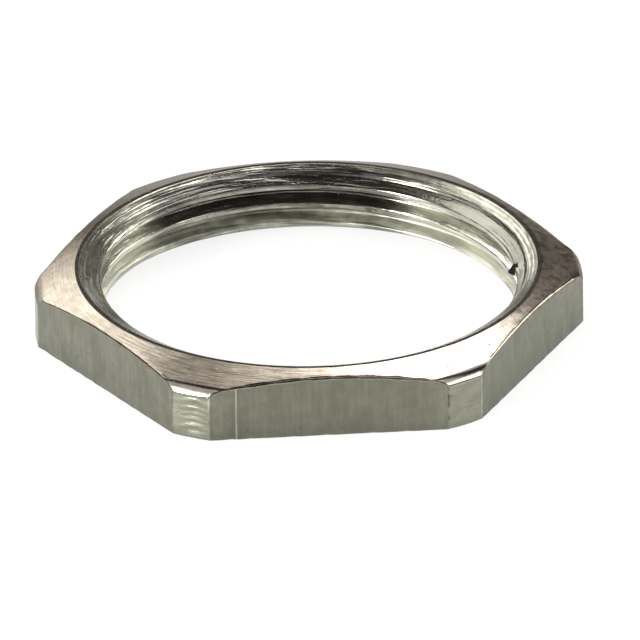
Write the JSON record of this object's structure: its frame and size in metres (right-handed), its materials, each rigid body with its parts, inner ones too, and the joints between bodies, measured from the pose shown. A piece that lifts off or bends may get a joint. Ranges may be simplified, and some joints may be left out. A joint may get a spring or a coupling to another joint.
{
  "type": "hexagon locknut",
  "caption": "Flat hexagon locknut with a fine internal thread, turned corners and a shallow cone on its upper face.",
  "frame": {"origin": "centre of the plain seating face, on the thread's axis", "axes": "+Z along the thread's axis, from the plain face to the coned face; +Y and -Y square to two of the spanner flats; +X through a corner"},
  "size_m": [0.04, 0.036, 0.005],
  "materials": {
    "nickel_plating": "nickel plated, drawn flats and turned faces left as machined"
  },
  "bodies": {
    "root": {"locknut": "nickel_plating"}
  },
  "joints": []
}
